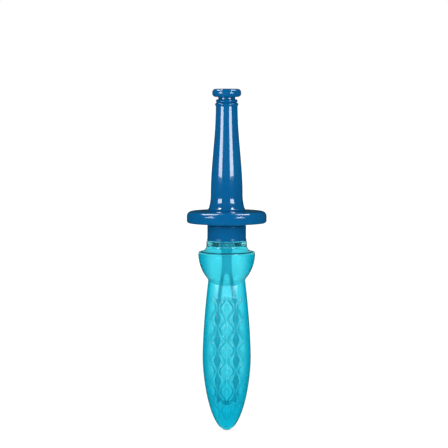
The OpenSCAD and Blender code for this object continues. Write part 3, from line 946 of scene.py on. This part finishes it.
guard_profile = eased(
    [
        (hub_bore_r, cap_top_z, soft),
        (hub_r, cap_top_z, soft),
        (hub_r, hub_top_z - guard_wall, hub_round),
        (cavity_r, rim_top_z - guard_wall, cavity_round),
        (cavity_r, rim_z, soft),
    ]
    + on_curve(arc((guard_r - rim_foot, rim_z + rim_foot), rim_foot, 270, 360, rim_steps))
    + on_curve(arc((guard_r - rim_round, rim_top_z - rim_round), rim_round, 0, rim_arc, rim_steps))
    + [(hub_r, hub_top_z, full), (hub_bore_r, hub_top_z, soft)],
    closed=True,
)
guard = turned_piece("guard_shell", guard_profile)
guard.data.materials.append(blue_plastic)

rib_tree, given, rib_keys = new_tree("guard_ribs", {
    "Count": "NodeSocketInt",
    "Middle": "NodeSocketFloat",
    "Length": "NodeSocketFloat",
    "Thick": "NodeSocketFloat",
    "Height": "NodeSocketFloat",
    "Slope": "NodeSocketFloat",
    "Level": "NodeSocketFloat",
    "Finish": "NodeSocketMaterial",
})
web_sides = {"X": given.other("Length"), "Y": given.other("Thick"), "Z": given.other("Height")}
web = given.node("GeometryNodeMeshCube", {}, {"Size": given.node("ShaderNodeCombineXYZ", {}, web_sides)})
spot = split(given.node("GeometryNodeInputPosition"))
is_top = given.sum_of("GREATER_THAN", spot.other("Z"), 0.0)
tilt = given.node("ShaderNodeCombineXYZ", {}, {"Z": is_top * spot * given.other("Slope")})
web = given.node("GeometryNodeSetPosition", {}, {"Geometry": web, "Offset": tilt})
ring_size = {"Vertices": given.other("Count"), "Radius": given.other("Middle")}
ring = given.node("GeometryNodeMeshCircle", {}, ring_size)
lift = given.node("ShaderNodeCombineXYZ", {}, {"Z": given.other("Level")})
ring = given.node("GeometryNodeSetPosition", {}, {"Geometry": ring, "Offset": lift})
round_axis = given.node("ShaderNodeCombineXYZ", {}, {"Z": given.sum_of("ARCTAN2", spot.other("Y"), spot)})
round_axis = given.node("FunctionNodeEulerToRotation", {}, {"Euler": round_axis})
webs = given.node(
    "GeometryNodeInstanceOnPoints", {}, {"Points": ring, "Instance": web, "Rotation": round_axis}
)
end_tree(webs, given.other("Finish"), rib_keys)
rib_mid_z = (rib_in_z + rib_out_z) / 2
guard_ribs = grown("guard_ribs", rib_tree, rib_keys, {
    "Count": rib_count,
    "Middle": (rib_in_r + rib_out_r) / 2 * mm,
    "Length": (rib_out_r - rib_in_r) * mm,
    "Thick": rib_t * mm,
    "Height": (rib_mid_z - rib_low_z) * mm,
    "Slope": (rib_out_z - rib_in_z) / (rib_out_r - rib_in_r),
    "Level": (rib_mid_z + rib_low_z) / 2 * mm,
    "Finish": blue_plastic,
}, new_mesh("guard_ribs_seed"))
for piece in (guard, guard_ribs):
    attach(piece, "wand")
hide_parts("guard")


# Grip
# A hollow tapered handle in the same blue plastic, with a flared foot on the guard, an inner ledge that
# the spigot snaps over, and two beads round its top. Faint parting lines run up its sides.
grip_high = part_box("grip")[1] / mm
foot_r, grip_top_z = grip_high.x, grip_high.z
foot_h, foot_lip, foot_round, foot_flare_h, foot_flare_power = 2.4, 0.5, 0.5, 13.0, 2.0
grip_base_r, grip_top_r, grip_wall = 15.15, 10.3, 2.2
foot_top_z = hub_top_z + foot_h
foot_flare_out = foot_r - foot_lip - grip_base_r
shaft_z = foot_top_z + foot_flare_h
bead_h, bead_groove, bead_step, bead_gap, bead_arc = 3.3, 0.9, 0.8, 0.4, 60
beads_z = grip_top_z - 2 * bead_h
ledge_top_z = snap_z - press_gap
peg_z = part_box("pommel")[0].z / mm
peg_r, peg_end_gap, knob_neck_r = 6.0, 1.0, 8.0
peg_hole_r = peg_r + press_gap
hollow_z = peg_z - peg_end_gap
foot_steps, shaft_steps, hollow_steps = 22, 56, 24


def grip_r(z):
    """Outer radius of the grip at height z, above its flared foot."""
    return grip_top_r + (grip_base_r - grip_top_r) * smooth((beads_z - z) / (beads_z - shaft_z))


def grip_bead(order):
    """Points of one of the beads round the grip's top, counted from below."""
    centre = (grip_top_r - bead_groove - bead_step * order, beads_z + bead_h * (order + 0.5))
    return on_curve(arc(centre, bead_h / 2, -bead_arc, bead_arc, bead_steps))


grip_profile = eased(
    [(foot_r, hub_top_z, foot_round), (foot_r, foot_top_z, foot_round)]
    + [
        (grip_base_r + foot_flare_out * (1 - share) ** foot_flare_power, foot_top_z + foot_flare_h * share, 0)
        for share in np.linspace(0, 1, foot_steps)
    ]
    + [(grip_r(z), z, 0) for z in np.linspace(shaft_z, beads_z - bead_gap, shaft_steps)[1:]]
    + grip_bead(0)
    + grip_bead(1)
    + [(knob_neck_r, grip_top_z, crisp), (peg_hole_r, grip_top_z, crisp), (peg_hole_r, hollow_z, soft)]
    + [(grip_r(z) - grip_wall, z, 0) for z in np.linspace(hollow_z - grip_wall, shaft_z, hollow_steps)]
    + [
        (grip_base_r - grip_wall, ledge_top_z, soft),
        (hub_bore_r, ledge_top_z, soft),
        (hub_bore_r, hub_top_z, soft),
    ],
    closed=True,
)
grip = turned_piece("grip_tube", grip_profile)
grip.data.materials.append(blue_plastic)
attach(grip, "wand")
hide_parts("grip")


# Pommel
# A solid round knob in the same blue plastic, pressed into the grip's top by a peg under its short neck.
# A small dimple with the moulding gate's nub is in the middle of its top.
knob_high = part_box("pommel")[1] / mm
knob_r, knob_top_z = knob_high.x, knob_high.z
knob_neck_h, knob_round, knob_steps, peg_chamfer = 2.2, 3.2, 10, 0.6
knob_under_z = grip_top_z + knob_neck_h
edge_r = knob_r - knob_round
dimple_r, dimple_in_r, dimple_depth = 2.6, 2.2, 0.4
nub_r, nub_top_r, nub_drop = 0.9, 0.75, 0.15
dimple_z = knob_top_z - dimple_depth
nub_z = knob_top_z - nub_drop

knob_profile = eased(
    [
        (peg_r - peg_chamfer - flat_in, peg_z, 0),
        (peg_r - peg_chamfer, peg_z, crisp),
        (peg_r, peg_z + peg_chamfer, crisp),
        (peg_r, grip_top_z, crisp),
        (knob_neck_r, grip_top_z, crisp),
        (knob_neck_r, knob_under_z, full),
    ]
    + on_curve(arc((edge_r, knob_under_z + knob_round), knob_round, 270, 360, knob_steps))
    + on_curve(arc((edge_r, knob_top_z - knob_round), knob_round, 0, 90, knob_steps))
    + [
        (dimple_r, knob_top_z, soft),
        (dimple_in_r, dimple_z, crisp),
        (nub_r, dimple_z, crisp),
        (nub_top_r, nub_z, crisp),
        (nub_top_r / 2, nub_z, 0),
    ]
)
knob = turned_piece("pommel_knob", knob_profile, peg_z, nub_z)
knob.data.materials.append(blue_plastic)
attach(knob, "wand")
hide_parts("pommel")
